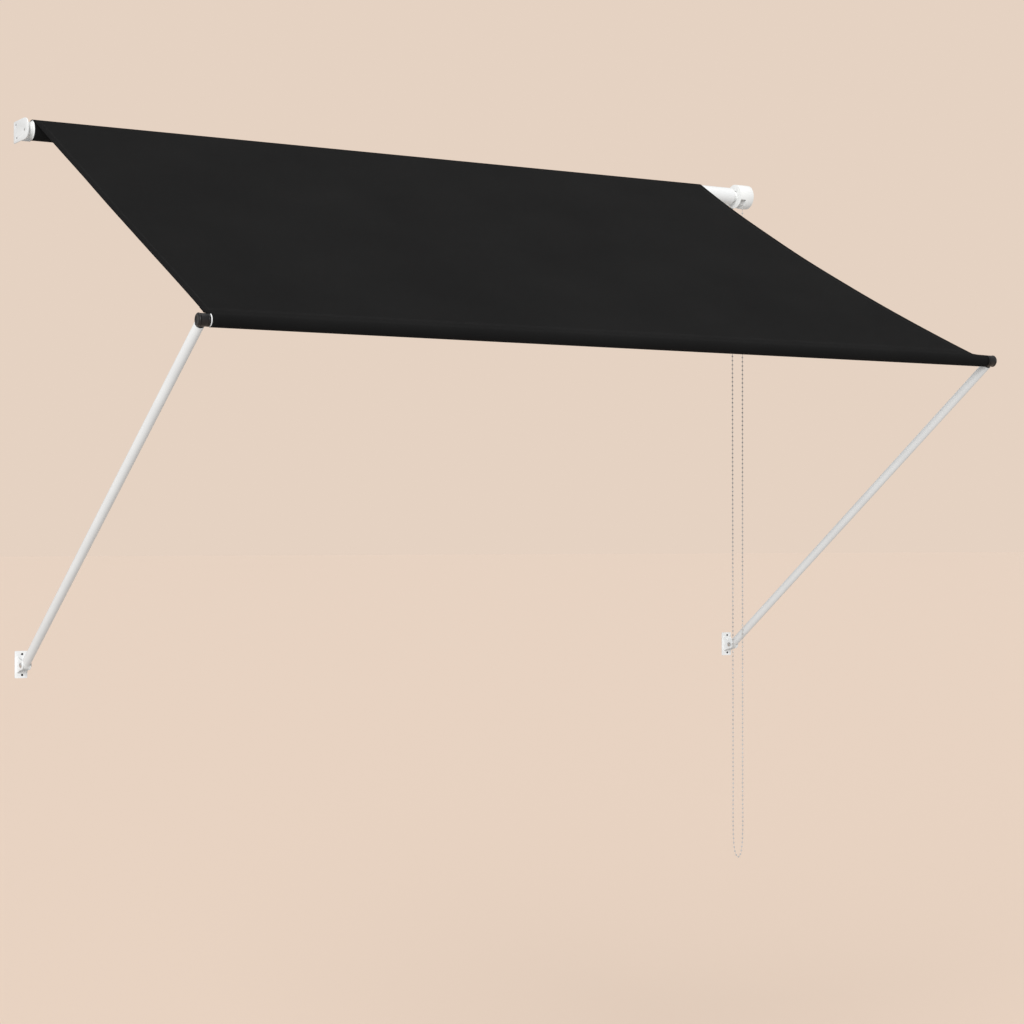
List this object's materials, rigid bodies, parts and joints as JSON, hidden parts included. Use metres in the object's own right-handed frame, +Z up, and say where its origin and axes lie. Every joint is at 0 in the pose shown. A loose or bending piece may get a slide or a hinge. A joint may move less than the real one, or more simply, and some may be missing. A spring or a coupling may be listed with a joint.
{
  "type": "drop-arm canvas awning",
  "caption": "Wall-mounted window awning: a canvas sheet runs from a roller to a front bar on swinging drop arms and is wound by a bead chain.",
  "frame": {"origin": "on the wall plane, at the roller axis height, centre of the upper left bracket's back face", "axes": "+X along the wall to the right, -Y out of the wall, +Z up"},
  "size_m": [2.4809, 1.295, 2.222],
  "materials": {
    "white_paint": "satin powder coat",
    "white_plastic": "satin moulded",
    "black_plastic": "satin moulded",
    "canvas": "woven, matt",
    "zinc": "zinc plated",
    "beads": "gloss"
  },
  "bodies": {
    "wall_side": {"upper_left_bracket": "white_paint", "upper_right_bracket": "white_paint", "lower_left_bracket": "white_paint", "lower_right_bracket": "white_paint", "drive_housing": "white_plastic", "drive_screw_1": "zinc", "drive_screw_2": "zinc", "idle_pin": "zinc", "left_arm_pin": "zinc", "left_arm_nut": "zinc", "right_arm_pin": "zinc", "right_arm_nut": "zinc", "canopy": "canvas", "bead_chain": "beads", "chain_on_wheel": "beads"},
    "roller": {"roller_tube": "white_paint", "wound_canvas": "canvas", "roller_idle_plug": "white_plastic", "roller_drive_plug": "white_plastic", "chain_wheel": "white_plastic"},
    "left_arm": {"left_arm_tube": "white_paint", "left_arm_foot": "white_plastic", "left_arm_eyelet": "black_plastic"},
    "right_arm": {"right_arm_tube": "white_paint", "right_arm_foot": "white_plastic", "right_arm_eyelet": "black_plastic"},
    "bar": {"front_bar": "white_paint", "left_bar_plug": "black_plastic", "right_bar_plug": "black_plastic", "left_knob": "black_plastic", "right_knob": "black_plastic"}
  },
  "joints": [
    {"name": "arm_fold", "type": "hinge", "parent": "wall_side", "child": "left_arm", "pos_m": [0, -0.037, -1.482], "axis": [-1, 0, 0], "range_deg": [0, 50], "deforming": ["canopy"]},
    {"name": "right_arm_fold", "type": "hinge", "parent": "wall_side", "child": "right_arm", "pos_m": [2.43, -0.037, -1.482], "axis": [-1, 0, 0], "range_deg": [0, 50]},
    {"name": "bar_turn", "type": "hinge", "parent": "left_arm", "child": "bar", "pos_m": [0, -1.278, -0.622], "axis": [-1, 0, 0], "range_deg": [-10, 0]},
    {"name": "roller_turn", "type": "hinge", "parent": "wall_side", "child": "roller", "pos_m": [0, -0.09, 0], "axis": [-1, 0, 0], "range_deg": [0, 2450]}
  ],
  "couplings": [
    {"joint": "right_arm_fold", "follows": "arm_fold", "ratio": 1},
    {"joint": "bar_turn", "follows": "arm_fold", "ratio": -0.18},
    {"joint": "roller_turn", "follows": "arm_fold", "ratio": 48.8}
  ]
}
